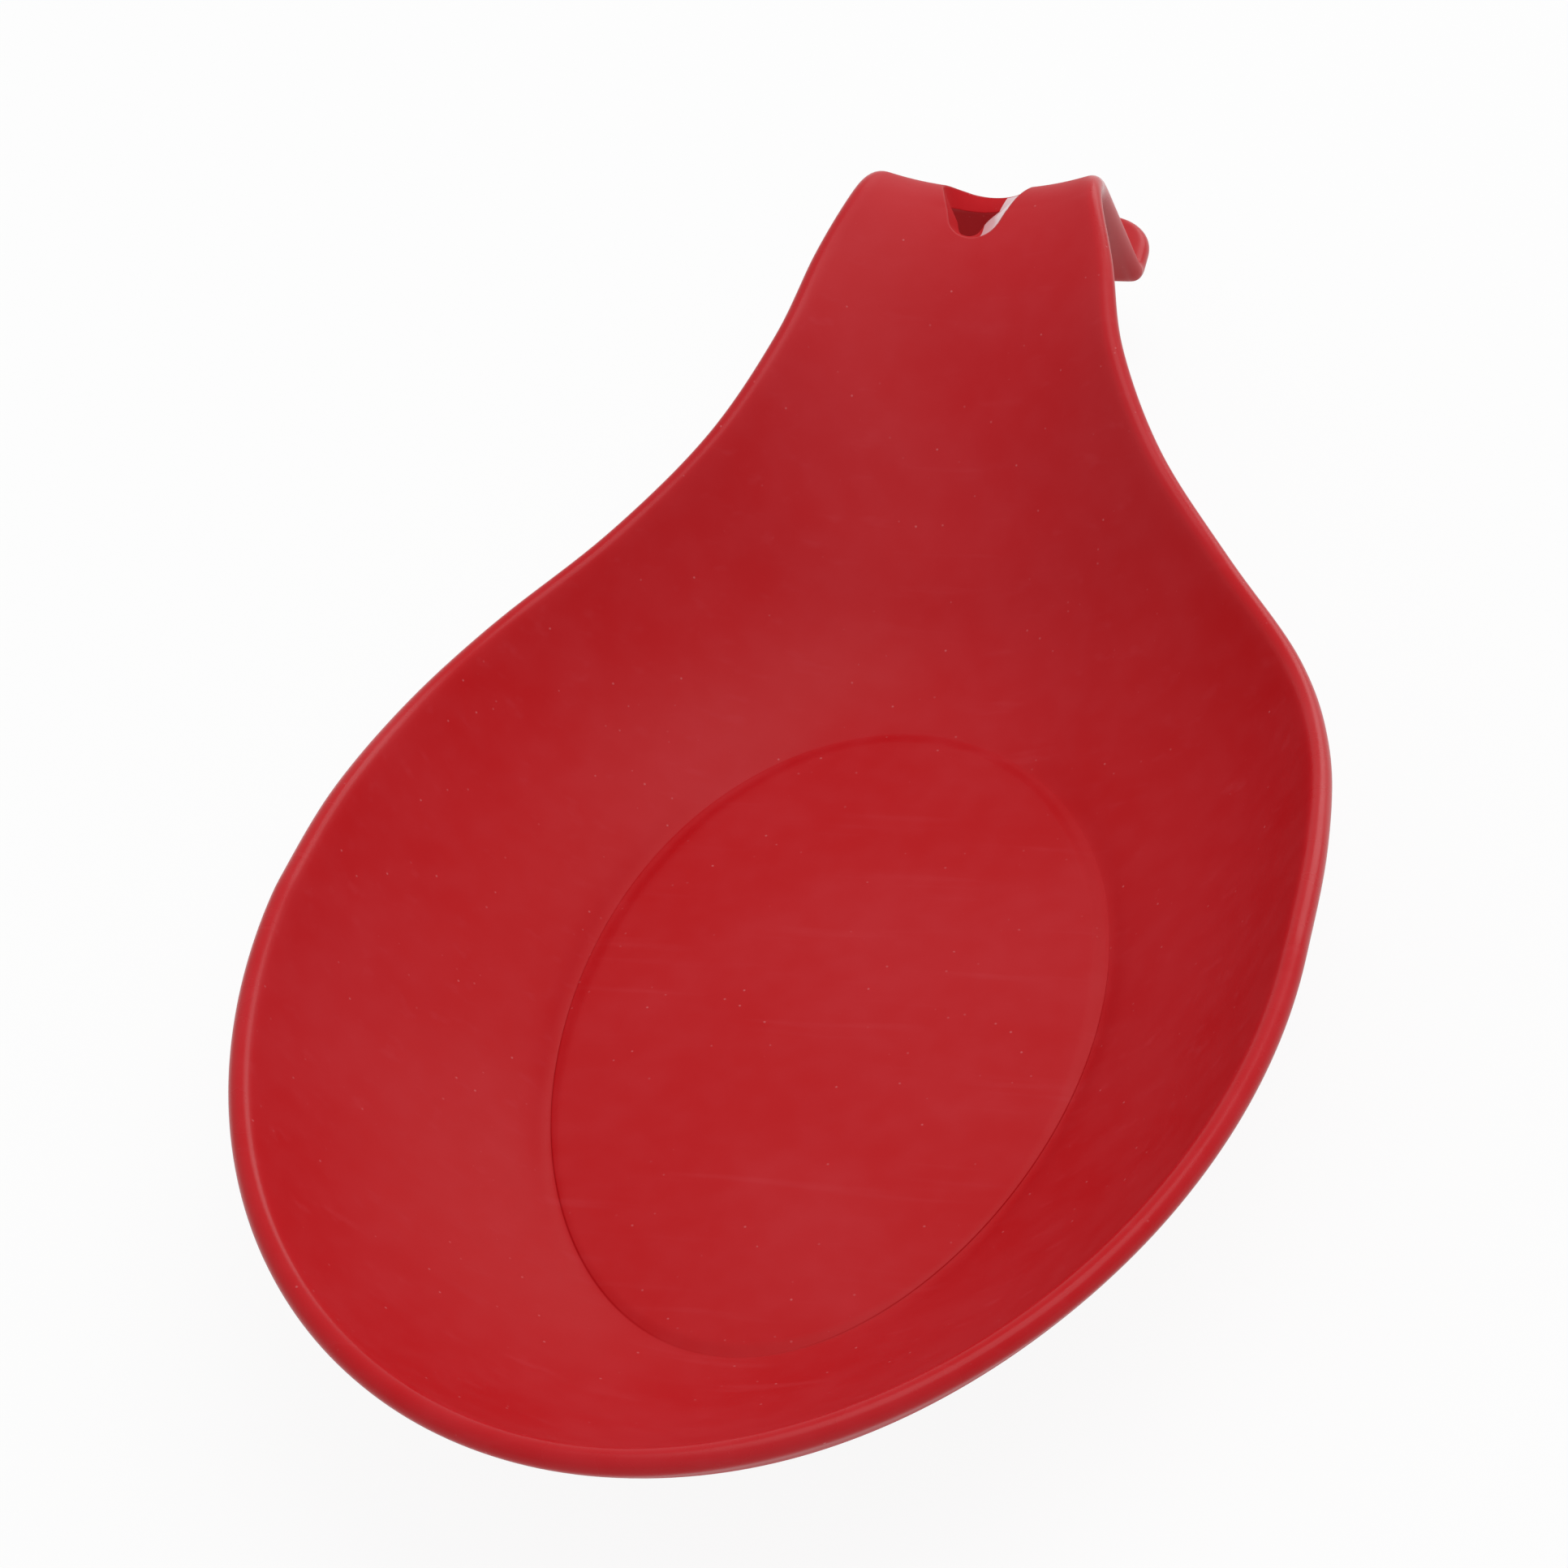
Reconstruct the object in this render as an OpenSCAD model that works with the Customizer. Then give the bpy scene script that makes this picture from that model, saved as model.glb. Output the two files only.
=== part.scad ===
// Spoon rest moulded from one sheet of silicone rubber, in millimetres, +Z up.
// The dish, the neck that rises out of it, the crest that curls over and the tail
// behind are one moulding. Each region is modelled as its own solid, and the
// regions meet face to face. X runs across, +Y from the dish's front to the tail,
// and the origin lies under the middle of the whole length, on the table.

/* [Sheet] */
// Thickness of the silicone sheet
sheet = 2.4; // [1.8:0.1:3]
// Height of the raised oval on the dish's floor
pad_step = 0.4; // [0.2:0.1:0.8]
// Width of the sloped step round the raised oval
pad_bevel = 0.8; // [0.4:0.1:1.2]

/* [Dish] */
// Width over the rim
dish_w = 97; // [88:1:106]
// Distance from the front of the rim to its widest line
dish_front = 65.2; // [58:0.1:72]
// Distance from the widest line to the place where the rim is lowest
dish_back = 54; // [48:1:60]
// Height of the rim round the front, to the middle of the edge
rim_h = 25; // [20:0.5:29]
// Height of the rim where it is lowest, to the middle of the edge
rim_low = 18.8; // [14:0.2:22]
// Length of the oval floor
floor_l = 85.4; // [76:0.2:92]
// Width of the oval floor
floor_w = 52.6; // [46:0.2:58]
// Distance from the front of the rim to the middle of the floor
floor_y = 74.5; // [71:0.1:78]

/* [Neck] */
// Length of the neck, from the lowest rim to the top of the crest
neck_l = 49.8; // [45:0.1:56]
// Width of the crest over its edges
crest_w = 27.2; // [23:0.2:31]
// Height of the crest's ends above the table
crest_h = 34.8; // [31:0.2:39]
// How far the middle of the crest lies below its ends
crest_sag = 2.6; // [1.6:0.1:3.4]

/* [Tail] */
// Radius of the crest's curl, to the middle of the sheet
curl_r = 9.2; // [8:0.1:10.4]
// Slope of the tail behind the crest, below the horizontal
tail_slope = 63; // [55:1:70]
// Width of the tail over its edges
tail_w = 27.4; // [23:0.2:31]
// How far the middle of the tail lies in front of its edges, just under the curl
tail_sag = 1.2; // [0.6:0.1:1.8]
// Radius of the bend between tail and lip, to the middle of the sheet
bend_r = 3; // [2.5:0.1:4]
// Height of the lip's underside above the table
lip_h = 11.6; // [9:0.2:14]
// Length of the flat lip behind the bend
lip_l = 9.3; // [7:0.1:12]
// Radius of the lip's corners, seen from above
lip_corner = 5.6; // [3.6:0.1:7]

/* [Notch] */
// Radius of the notch's wide rear end, on the sheet's top
notch_r = 4.9; // [4.4:0.1:5.6]
// Radius of the notch's front point, on the sheet's top
notch_tip_r = 2.9; // [2:0.1:3.2]
// Distance of the front point's centre in front of the crest
notch_front = 1.1; // [0.6:0.1:2.4]
// Distance of the rear end's centre behind the crest, along the sheet
notch_rear = 6; // [5:0.1:7]
// How much the notch narrows on each side from the top to the underside
notch_taper = 1.3; // [0.6:0.1:1.6]

/* [Hidden] */

silicone = [0.72, 0.13, 0.16];

// Half the sheet, which is also the radius of its rounded edge
half = sheet / 2;
// The line along the middle of the rounded edge
rim_x = dish_w / 2 - half;
rim_y0 = half;
wide_y = dish_front;
low_y = dish_front + dish_back;
crest_y = low_y + neck_l;
crest_x = crest_w / 2 - half;
crest_z = crest_h - half;
tail_x = tail_w / 2 - half;
lip_z = lip_h + half;

// The front of the rim is half a superellipse of this power
front_power = 1.96;

// Rim behind its widest line, as stations that a smooth curve passes through.
// Of the dish's part, each has a share of the way in from widest to crest half
// width, a share of dish_back and a share of the way down to the lowest rim.
dish_in_shares = [0, 0.009, 0.068, 0.2];
dish_y_shares = [0, 0.278, 0.583, 0.854];
dish_down_shares = [0.05, 0.306, 0.758, 1];
// Of the neck's part, a share of the same way in, of neck_l and of the way up
// from the lowest rim to the crest.
neck_in_shares = [0.452, 0.692, 0.847, 0.927, 1];
neck_y_shares = [0.12, 0.359, 0.592, 0.813, 1];
neck_up_shares = [0.082, 0.356, 0.678, 0.897, 1];
// Height of the channel's bottom at the neck's stations, at the one before them and
// at one beyond, as a share of the way up from the floor to the crest's middle
channel_shares = [0, 0.06, 0.33, 0.65, 0.92, 1, 0.92];

// The dish ends and the neck begins halfway between the first two neck stations
dish_stations = len(dish_in_shares);
join_t = dish_stations + 1 / 2;
last_t = dish_stations + len(neck_in_shares) - 1;
// The crest begins at this station, in front of the notch
crest_t = last_t - 1;

// The floor is wider towards the neck, and narrower in front, by this share
floor_flare = 0.066;

// Slope of the dish's wall at the floor and at the rim, as shares of its mean
wall_foot_share = 0.35;
wall_top_share = 1.65;
// Directions from the floor's middle of the lines up the wall that reach the
// widest rim and the corner where the neck begins, in degrees
wide_angle = -8;
join_angle = 58;

// Counts of strips in the meshes
n_front = 16;
n_back = 16;
n_across = 9;
n_wall = 11;
n_edge = 4;
n_neck = 14;
n_crest_front = 8;
n_curl = 10;
n_tail = 8;
n_bend = 5;
n_lip = 5;
n_round = 4;
n_notch = 44;

// How far a cut goes on beyond the sheet
overrun = sheet / 4;
// A small step along a curve, to take its slope, as a share of a station
slope_step_share = 1 / 50;
// Where the lip's end is rounded off, its last row keeps this share of the sheet
thin_share = 0.12;

function mix(a, b, s) = a + (b - a) * s;
function unit(v) = v / norm(v);
function smooth(s) = s * s * (3 - 2 * s);
function clamped(i, n) = max(0, min(n - 1, i));

// Smooth curve through a list of values or points, at place t along the list
function through(list, t) =
    let (n = len(list), i = clamped(floor(t), n - 1), s = t - i,
         a = list[clamped(i - 1, n)], b = list[i],
         c = list[clamped(i + 1, n)], d = list[clamped(i + 2, n)])
    b + s / 2 * (c - a + s * (2 * a - 5 * b + 4 * c - d
        + s * (3 * b - a - 3 * c + d)));

// Stations of the rim behind its widest line: [half width, y, z]
function dish_station(i) =
    [mix(rim_x, crest_x, dish_in_shares[i]),
     wide_y + dish_back * dish_y_shares[i],
     mix(rim_h, rim_low, dish_down_shares[i])];
function neck_station(i) =
    [mix(rim_x, crest_x, neck_in_shares[i]),
     low_y + neck_l * neck_y_shares[i],
     mix(rim_low, crest_z, neck_up_shares[i])];
crest_station = len(neck_in_shares) - 1;
// The last one lies beyond the crest, as far as the one before it lies in front,
// so that the rim is level where it meets the curl
stations = concat(
    [for (i = [0 : dish_stations - 1]) dish_station(i)],
    [for (i = [0 : crest_station]) neck_station(i)],
    [[neck_station(crest_station - 1)[0],
      2 * crest_y - neck_station(crest_station - 1)[1],
      neck_station(crest_station - 1)[2]]]);
function rim_back(t) = through(stations, t);

// Front of the rim, from its tip at 0 degrees to the widest line at 90
function rim_front(a) =
    let (e = 2 / front_power)
    [rim_x * pow(sin(a), e),
     wide_y - (wide_y - rim_y0) * pow(cos(a), e),
     mix(rim_h, rim_low, dish_down_shares[0] * smooth(a / 90))];

// Middle of the sheet along the channel's bottom
crest_mid_z = crest_z - crest_sag;
function channel_z(t) =
    mix(half, crest_mid_z, through(channel_shares, t - dish_stations + 1));
function neck_sag(t) = rim_back(t)[2] - channel_z(t);
// Height of the neck's middle surface at half width x
function neck_z(t, x) =
    let (r = rim_back(t))
    r[2] - neck_sag(t) * (1 - pow(x / r[0], 2));
// Its slope along Y
function neck_slope(t, x) =
    let (d = slope_step_share, a = max(0, t - d), b = min(last_t, t + d))
    (neck_z(b, x) - neck_z(a, x)) / (rim_back(b)[1] - rim_back(a)[1]);

// A row across the strip of sheet: the middle of its chord [y, z], the tilt of
// its normal from vertical towards +Y, half width, sag, half thickness at the
// middle and half thickness at the edges, both measured in the row's plane
function neck_row(t) =
    let (r = rim_back(t), m = neck_slope(t, 0), e = neck_slope(t, r[0]))
    [[r[1], r[2]], 0, r[0], neck_sag(t),
     half * sqrt(1 + m * m), half * sqrt(1 + e * e)];

// Points of a row's outline: the top from left to right, the right edge, the
// bottom from right to left, and the left edge
function across(j, n) = j / n - 1;
function row_at(row, x, n) =
    [x, row[0][0] + n * sin(row[1]), row[0][1] + n * cos(row[1])];
function row_side(row, g, side) =
    let (x = g * row[2], dip = -row[3] * (1 - g * g), k = 2 * row[3] * g / row[2],
         h = side * mix(row[4], row[5], g * g) / sqrt(1 + k * k))
    row_at(row, x - k * h, dip + h);
function row_edge(row, side, a) =
    let (k = 2 * row[3] / row[2], q = atan(k), h = row[5])
    row_at(row, side * (row[2] + h * (sin(a) * cos(q) - cos(a) * sin(q))),
           h * (cos(a) * cos(q) + sin(a) * sin(q)));
function row_outline(row, n = n_across) = concat(
    [for (j = [0 : 2 * n]) row_side(row, across(j, n), 1)],
    [for (i = [1 : n_edge - 1]) row_edge(row, 1, 180 * i / n_edge)],
    [for (j = [2 * n : -1 : 0]) row_side(row, across(j, n), -1)],
    [for (i = [n_edge - 1 : -1 : 1]) row_edge(row, -1, 180 * i / n_edge)]);

// Flat end of a strip, as pieces between the top and the bottom of an outline
// of k points whose first point has this number
function end_faces(k, first) =
    let (n = (k - 2 * n_edge) / 4, low = 2 * n + n_edge)
    concat(
        [for (j = [0 : 2 * n - 1])
            let (a = first + j, b = first + low + 2 * n - j)
            each [[a, a + 1, b - 1], [a, b - 1, b]]],
        [[for (i = [0 : n_edge]) first + 2 * n + i]],
        [[for (i = [0 : n_edge]) first + (low + 2 * n + i) % k]]);
function turned(face) = [for (i = [len(face) - 1 : -1 : 0]) face[i]];

// Strip of sheet through a list of row outlines of equal length
module skin(loops) {
    k = len(loops[0]);
    n = len(loops);
    points = [for (loop = loops) each loop];
    sides = [for (i = [0 : n - 2]) for (j = [0 : k - 1])
        let (a = i * k + j, b = i * k + (j + 1) % k, c = a + k, d = b + k)
        each [[a, d, b], [a, c, d]]];
    ends = [for (face = end_faces(k, (n - 1) * k)) turned(face)];
    polyhedron(points, concat(end_faces(k, 0), sides, ends), convexity = 10);
}

// Dish wall: lines up the wall run from the oval floor to the rim, or to the
// row where the neck begins

function oval(angle, inset) =
    [(floor_w / 2 - inset) * cos(angle) * (1 + floor_flare * sin(angle)),
     floor_y + (floor_l / 2 - inset) * sin(angle)];

join_row = neck_row(join_t);
join_x = join_row[2];
join_y = join_row[0][0];

// One line up the wall: [floor angle, end point, slope share at its end, flag]
function wall_end_share(angle, p) =
    let (q = oval(angle, 0), x = p[0],
         rise = neck_slope(join_t, x) * (p[1] - q[1])
              + 2 * neck_sag(join_t) * x / (join_x * join_x) * (x - q[0]))
    rise / (p[2] - half);
corner = rim_back(join_t);
corner_share = wall_end_share(join_angle, corner);
function wall_line(j) =
    j <= n_front
    ? let (s = j / n_front)
      [mix(-90, wide_angle, s), rim_front(90 * s), wall_top_share, true]
    : j <= n_front + n_back
    ? let (s = (j - n_front) / n_back)
      [mix(wide_angle, join_angle, s), rim_back(join_t * s),
       mix(wall_top_share, corner_share, smooth(s)), true]
    : let (s = (j - n_front - n_back) / n_across, x = join_x * (1 - s),
           p = [x, join_y, neck_z(join_t, x)], a = mix(join_angle, 90, s))
      [a, p, wall_end_share(a, p), false];
half_lines = [for (j = [0 : n_front + n_back + n_across]) wall_line(j)];
n_half = len(half_lines) - 1;
n_lines = 2 * n_half;

// Middle of the sheet at step i up line j, which counts right round the dish
function wall_mid(i, j) =
    let (right = j <= n_half, line = half_lines[right ? j : n_lines - j],
         s = i / n_wall, q = oval(line[0], 0), p = line[1], rise = p[2] - half,
         z = half + rise * s * ((1 - s) * (1 - s) * wall_foot_share
             + s * (3 - 2 * s) - s * (1 - s) * line[2]),
         x = mix(q[0], p[0], s))
    [right ? x : -x, mix(q[1], p[1], s), z];
function wrap(j) = (j + n_lines) % n_lines;
function wall_normal(i, j) =
    i == 0 ? [0, 0, 1]
    : let (up = wall_mid(min(i + 1, n_wall), j) - wall_mid(i - 1, j),
           round = wall_mid(i, wrap(j + 1)) - wall_mid(i, wrap(j - 1)),
           n = unit(cross(round, up)))
      n[2] < 0 ? -n : n;

// The rounded rim, or the flat face against the neck
function rim_arc(j) =
    let (right = j <= n_half, k = right ? j : n_lines - j, line = half_lines[k],
         at_join = k >= n_front + n_back,
         g = (right ? 1 : -1) * line[1][0] / join_x,
         top = row_side(join_row, g, 1), bottom = row_side(join_row, g, -1),
         p = wall_mid(n_wall, j), n = wall_normal(n_wall, j),
         run = unit(wall_mid(n_wall, wrap(j + 1)) - wall_mid(n_wall, wrap(j - 1))),
         out = unit(cross(run, n)))
    [for (i = [0 : n_edge]) let (a = 180 * i / n_edge)
        !at_join ? p + half * (n * cos(a) + out * sin(a))
        : k == n_front + n_back && i > 0 && i < n_edge
        ? row_edge(join_row, right ? 1 : -1, a)
        : mix(top, bottom, i / n_edge)];

function wall_loop(j) = concat(
    [for (i = [0 : n_wall - 1]) wall_mid(i, j) + half * wall_normal(i, j)],
    rim_arc(j),
    [for (i = [n_wall - 1 : -1 : 0]) wall_mid(i, j) - half * wall_normal(i, j)]);

module ring(loops) {
    k = len(loops[0]);
    n = len(loops);
    points = [for (loop = loops) each loop];
    faces = [for (i = [0 : n - 1]) for (j = [0 : k - 1])
        let (a = i * k + j, b = i * k + (j + 1) % k,
             c = ((i + 1) % n) * k + j, d = ((i + 1) % n) * k + (j + 1) % k)
        each [[a, d, b], [a, c, d]]];
    polyhedron(points, faces, convexity = 10);
}

// Strip behind the crest: curl, straight tail, bend and lip

// Distances along the middle of the sheet, from the top of the crest
curl_s = curl_r * tail_slope * PI / 180;
curl_end = [crest_y + curl_r * sin(tail_slope),
            crest_z - curl_r * (1 - cos(tail_slope))];
bend_drop = bend_r * (1 - cos(tail_slope));
straight = (curl_end[1] - lip_z - bend_drop) / sin(tail_slope);
straight_end = curl_end + straight * [cos(tail_slope), -sin(tail_slope)];
bend_end = straight_end + [bend_r * sin(tail_slope), -bend_drop];
lip_end_y = bend_end[0] + lip_l;
length = lip_end_y;

// Row of the curl at a degrees from the top of the crest
function curl_row(a) =
    let (s = a / tail_slope)
    [[crest_y + curl_r * sin(a), crest_z - curl_r * (1 - cos(a))], a,
     mix(crest_x, tail_x, smooth(s)), mix(crest_sag, tail_sag, s), half, half];
// Row of the straight tail, at share s of its length
function tail_row(s) =
    [mix(curl_end, straight_end, s), tail_slope, tail_x, tail_sag * (1 - s),
     half, half];
function bend_row(s) =
    let (a = tail_slope * (1 - s))
    [bend_end - [bend_r * sin(a), -bend_r * (1 - cos(a))], a, tail_x, 0, half, half];
// Row of the lip at distance d in front of its end, where the corners and the
// edge are rounded
function lip_row(d) =
    let (c = max(0, lip_corner - d), e = max(0, half - d),
         h = max(thin_share * half, sqrt(half * half - e * e)),
         x = tail_x + half - lip_corner + sqrt(lip_corner * lip_corner - c * c))
    [[lip_end_y - d, lip_z], 0, x - h, 0, h, h];

// Where the crest region ends and the tail begins, as a share of the straight
notch_end_s = notch_rear + notch_r - curl_s;
crest_end_share = min(1 / 2, (notch_end_s + sheet) / straight);

// Notch: a teardrop laid on the sheet, wide behind and pointed in front. Place s
// is the distance behind the top of the crest, along the middle of the sheet. Where
// an inset leaves nothing of the front point, the point moves back between the sides.
notch_lean = asin((notch_r - notch_tip_r) / (notch_front + notch_rear));
notch_least_r = sheet / 12;
function notch_point(i, inset) =
    let (a = 360 * (i + 1 / 2) / n_notch - 180, wide = abs(a) < 90 + notch_lean,
         tip = max(notch_tip_r - inset, notch_least_r),
         back = (tip - notch_tip_r + inset) / sin(notch_lean),
         c = wide ? notch_rear : back - notch_front,
         r = wide ? notch_r - inset : tip)
    [r * sin(a), c + r * cos(a)];
function row_behind(s) =
    s < 0 ? [[crest_y + s, crest_z], 0, crest_x, crest_sag, half, half]
    : s < curl_s ? curl_row(s / curl_r * 180 / PI)
    : tail_row((s - curl_s) / straight);
function on_sheet(p, lift) =
    let (row = row_behind(p[1]), g = p[0] / row[2])
    row_at(row, p[0], lift - row[3] * (1 - g * g));

module notch_cut() {
    lifts = [half + overrun, half, 0, -half, -half - overrun];
    loops = [for (lift = lifts) [for (i = [0 : n_notch - 1])
        on_sheet(notch_point(i, notch_taper * (1 / 2 - lift / sheet)), lift)]];
    middle = (notch_rear - notch_front) / 2;
    last = len(lifts) - 1;
    n = n_notch;
    points = concat([for (loop = loops) each loop],
        [on_sheet([0, middle], curl_r), on_sheet([0, middle], lifts[last])]);
    centre = len(lifts) * n;
    faces = concat(
        [for (i = [0 : n - 1]) let (b = (i + 1) % n)
            each [[i, b, centre], [last * n + b, last * n + i, centre + 1]]],
        [for (r = [0 : last - 1]) for (i = [0 : n - 1])
            let (a = r * n + i, b = r * n + (i + 1) % n)
            each [[a, a + n, b + n], [a, b + n, b]]]);
    polyhedron(points, faces, convexity = 6);
}

module placed() {
    translate([0, -length / 2, 0]) children();
}

// Turns right round the floor, matched to the lines up the wall
module floor_outline(inset) {
    polygon([for (j = [0 : n_lines - 1])
        let (right = j <= n_half, line = half_lines[right ? j : n_lines - j],
             q = oval(line[0], inset))
        [right ? q[0] : -q[0], q[1]]]);
}

// Flat floor of the dish, which the rest stands on, with its raised oval
module floor_pad() {
    color(silicone) placed() {
        linear_extrude(sheet) floor_outline(0);
        linear_extrude(sheet + pad_step / 2) floor_outline(pad_bevel / 2);
        linear_extrude(sheet + pad_step) floor_outline(pad_bevel);
    }
}

// Sloping wall of the dish, up to its rounded rim
module dish_wall() {
    color(silicone) placed()
        ring([for (j = [0 : n_lines - 1]) wall_loop(j)]);
}

// Channel that rises out of the dish towards the crest
module neck() {
    color(silicone) placed()
        skin([for (i = [0 : n_neck])
            row_outline(neck_row(mix(join_t, crest_t, i / n_neck)))]);
}

// Crest that curls over, with the notch that holds a spoon's handle
module crest() {
    color(silicone) placed() difference() {
        skin(concat(
            [for (i = [0 : n_crest_front])
                row_outline(neck_row(mix(crest_t, last_t, i / n_crest_front)))],
            [for (i = [1 : n_curl]) row_outline(curl_row(tail_slope * i / n_curl))],
            [row_outline(tail_row(crest_end_share))]));
        notch_cut();
    }
}

// Sheet that drops behind the crest
module tail() {
    color(silicone) placed()
        skin(concat(
            [for (i = [0 : n_tail])
                row_outline(tail_row(mix(crest_end_share, 1, i / n_tail)))],
            [for (i = [1 : n_bend]) row_outline(bend_row(i / n_bend))]));
}

// Flat lip at the tail's foot, to lift or hang the rest by
module lip() {
    color(silicone) placed()
        skin(concat(
            [row_outline(bend_row(1), 1)],
            [for (i = [n_lip : -1 : 1])
                row_outline(lip_row(half + (lip_corner - half) * i / n_lip), 1)],
            [for (i = [n_round : -1 : 0])
                row_outline(lip_row(half * (1 - cos(90 * i / n_round))), 1)]));
}

floor_pad();
dish_wall();
neck();
crest();
tail();
lip();
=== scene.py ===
# %% [markdown]
# A silicone spoon rest, as a lesson in modelling one moulded sheet
#
# The object is a single moulding of red silicone rubber: an oval dish for the bowl
# of a cooking spoon, a neck that rises out of it as a channel, a crest that curls
# over with a notch in it, and a tail that ends in a flat lip. The whole thing is one
# sheet of even thickness, so this lesson draws the middle of that sheet first, and
# then gives it a top, an underside and rounded edges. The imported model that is
# loaded here gives the place and the size that the finished mesh has to keep.

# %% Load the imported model
import math

import bpy
import numpy as np
from mathutils import Matrix


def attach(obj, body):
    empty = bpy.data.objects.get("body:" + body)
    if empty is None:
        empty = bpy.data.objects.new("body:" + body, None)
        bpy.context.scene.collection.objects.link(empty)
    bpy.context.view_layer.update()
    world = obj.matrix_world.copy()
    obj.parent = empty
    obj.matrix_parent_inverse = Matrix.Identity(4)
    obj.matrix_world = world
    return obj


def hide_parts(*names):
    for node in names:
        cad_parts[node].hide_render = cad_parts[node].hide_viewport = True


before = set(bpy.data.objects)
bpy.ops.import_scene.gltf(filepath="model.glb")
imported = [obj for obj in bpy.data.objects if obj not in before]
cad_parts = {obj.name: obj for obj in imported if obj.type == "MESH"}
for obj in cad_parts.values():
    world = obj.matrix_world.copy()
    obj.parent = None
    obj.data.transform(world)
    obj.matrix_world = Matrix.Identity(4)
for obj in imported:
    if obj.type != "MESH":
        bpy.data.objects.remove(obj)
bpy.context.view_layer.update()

MM = 0.001
print("packed nodes:", ", ".join(sorted(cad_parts)))

# %% [markdown]
# The rim is the outline of the whole object, so it comes first. Its front is half a
# superellipse, which is an ellipse with an adjustable bulge. Behind its widest line it
# is a smooth curve through a few stations. A Catmull-Rom curve passes through every
# station and needs no handles, which makes it easier to steer by measured points than
# a Bezier curve. All sizes are in millimetres. Y starts at the front of the rim, and the
# mesh moves back by half its length at the end. Each size is the middle of the sheet or
# of its rounded edge, so the rubber reaches half a thickness further out.

# %% The rim's line
SHEET = 2.4                                     # thickness of the rubber
HALF = SHEET / 2
RIM_X, WIDE_Y, WIDE_Z = 47.45, 64.0, 24.7       # the right end of the widest line
RIM_FRONT, RIM_HIGH = 0.0, 25.0                 # the front tip
FRONT_POWER = 1.95                              # 2 would be an ellipse
CREST_X, CREST_Y, CREST_Z = 12.5, 167.8, 33.8   # the right end of the crest's top
STATIONS = np.array([
    # half width, y, height
    (RIM_X, WIDE_Y, WIDE_Z), (47.15, 79.0, 23.1), (45.1, 95.5, 20.3),
    (40.4, 110.1, 18.8), (31.5, 124.0, 20.0), (23.1, 135.9, 24.0),
    (17.6, 147.5, 28.7), (15.0, 158.5, 32.0), (CREST_X, CREST_Y, CREST_Z),
    (11.3, 177.1, 32.0)])
NOTCH_STATION, CREST_STATION = 7, 8


def ease(s):
    """0 to 1 with a soft start and a soft end."""
    return s * s * (3 - 2 * s)


def smooth_through(values, t):
    """Point at place t on the Catmull-Rom curve through a list of values."""
    top = len(values) - 1
    i = min(max(int(t), 0), top)
    s = t - i
    a, b, c, d = (values[min(max(k, 0), top)] for k in (i - 1, i, i + 1, i + 2))
    bend = 2 * a - 5 * b + 4 * c - d + s * (3 * b - a - 3 * c + d)
    return b + s / 2 * (c - a + s * bend)


def front_rim(angle):
    """The rim from its front tip, at angle 0, to the widest line."""
    power = 2 / FRONT_POWER
    return np.array([
        RIM_X * math.sin(angle) ** power,
        WIDE_Y - (WIDE_Y - RIM_FRONT) * max(math.cos(angle), 0) ** power,
        RIM_HIGH - (RIM_HIGH - WIDE_Z) * ease(angle / (math.pi / 2))])


def back_rim(t):
    """The rim behind the widest line. Station k lies at t = k."""
    return smooth_through(STATIONS, t)


print("rim: front tip", front_rim(0).round(1), "crest", back_rim(CREST_STATION).round(1))

# %% [markdown]
# Between its edges the neck sags like a shallow gutter, which keeps the handle of the
# spoon in the middle. A parabola across the width is the plainest curve that is level
# in the middle and steep at the edges, and its depth is free to change along the neck.

# %% The neck's channel
CREST_SAG = 2.6         # depth of the gutter at the crest
GUTTER = np.array([     # height of the gutter's middle at each station
    HALF, HALF, HALF, HALF, 3.0, 10.9, 20.4, 28.5, CREST_Z - CREST_SAG, 28.5])


def neck_sag(t):
    return back_rim(t)[2] - smooth_through(GUTTER, t)


def neck_point(t, g):
    """Middle of the sheet at place t along the neck, g of the way to its edge."""
    x, y, z = back_rim(t)
    return np.array([g * x, y, z - neck_sag(t) * (1 - g * g)])


def neck_slope(t, g):
    """Rise of the neck's surface along y, at a fixed distance from the middle."""
    step = 0.02
    x = g * back_rim(t)[0]
    low, high = (back_rim(t + d) for d in (-step, step))
    z = [r[2] - neck_sag(t + d) * (1 - (x / r[0]) ** 2) for r, d in ((low, -step), (high, step))]
    return (z[1] - z[0]) / (high[1] - low[1])


print("gutter at the crest:", round(neck_sag(CREST_STATION), 2), "mm deep")

# %% [markdown]
# The dish could be lofted from ovals stacked in height, but its rim isn't level. So it
# is drawn with lines that start at the flat oval floor and climb to the rim, as the ribs
# of an umbrella do. Each line is a cubic curve with its own steepness at both ends, so
# that the wall leaves the floor softly and meets the neck with no kink. At the sides it
# rises more steeply, which is what makes the oval floor stand out in the photograph.

# %% The dish's lines
N_FRONT, N_BACK, N_ACROSS, N_WALL = 36, 28, 18, 24      # lines, and points up a line
FLOOR_X, FLOOR_Y, FLOOR_MIDDLE = 26.3, 42.7, 73.3       # half axes and middle of the floor
EGG_SHARE = 0.066                                       # the floor is this much wider behind
FOOT, TOP = 0.35, 1.65                                  # steepness at the floor, at the rim
SIDE_FOOT, SOFT_FOOT = 0.42, 0.1                        # the sides rise more steeply
WIDE_ANGLE, JOIN_ANGLE = math.radians(-8), math.radians(58)
JOIN = 4.5                                              # where the dish ends on the neck


def floor_edge(angle, inset=0.0):
    wider = 1 + EGG_SHARE * math.sin(angle)
    return np.array([(FLOOR_X - inset) * wider * math.cos(angle),
                     FLOOR_MIDDLE + (FLOOR_Y - inset) * math.sin(angle), HALF])


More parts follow.
